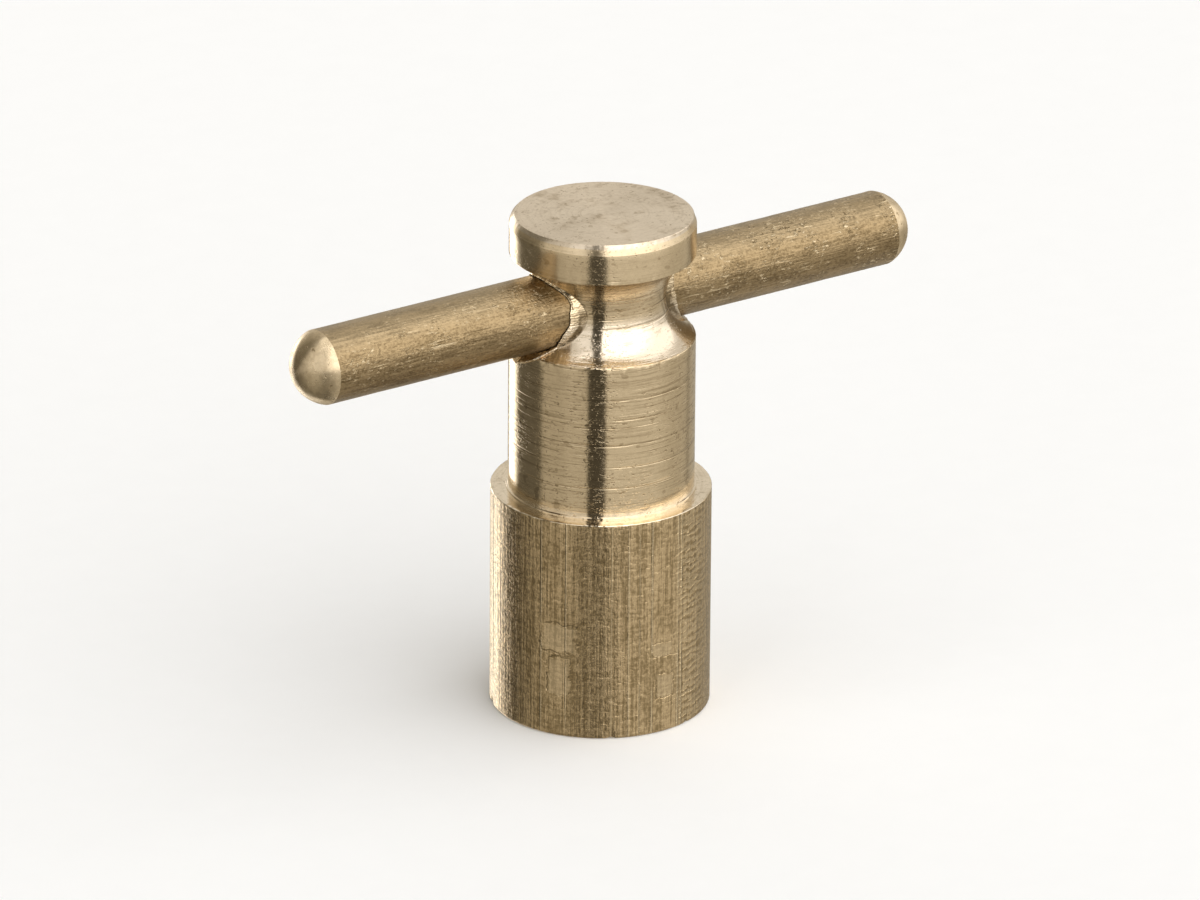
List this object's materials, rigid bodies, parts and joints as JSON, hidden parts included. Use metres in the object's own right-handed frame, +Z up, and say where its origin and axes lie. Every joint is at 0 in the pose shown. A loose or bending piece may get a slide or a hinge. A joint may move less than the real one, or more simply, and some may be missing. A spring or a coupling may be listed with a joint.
{
  "type": "gas valve key",
  "caption": "Small brass loose key with a turned body, a square socket in its lower end and a round-ended cross bar pressed through its neck, for turning a gas valve's spindle.",
  "frame": {"origin": "centre of the bottom rim, in the plane that the key stands on", "axes": "+Z up the body towards the head, +X along the cross bar, +Y square to both; the key is the same seen from either end of X or of Y"},
  "size_m": [0.046, 0.014, 0.033],
  "materials": {
    "turned_brass": "bright turned with fine lathe rings; the sleeve keeps the dull drawn skin of the bar stock, with fine lengthwise draw lines and two pale jaw marks",
    "drawn_brass": "dull drawn rod, olive gold, with lengthwise streaks and small dents; ends turned bright"
  },
  "bodies": {
    "root": {"key_body": "turned_brass", "tee_bar": "drawn_brass"}
  },
  "joints": []
}
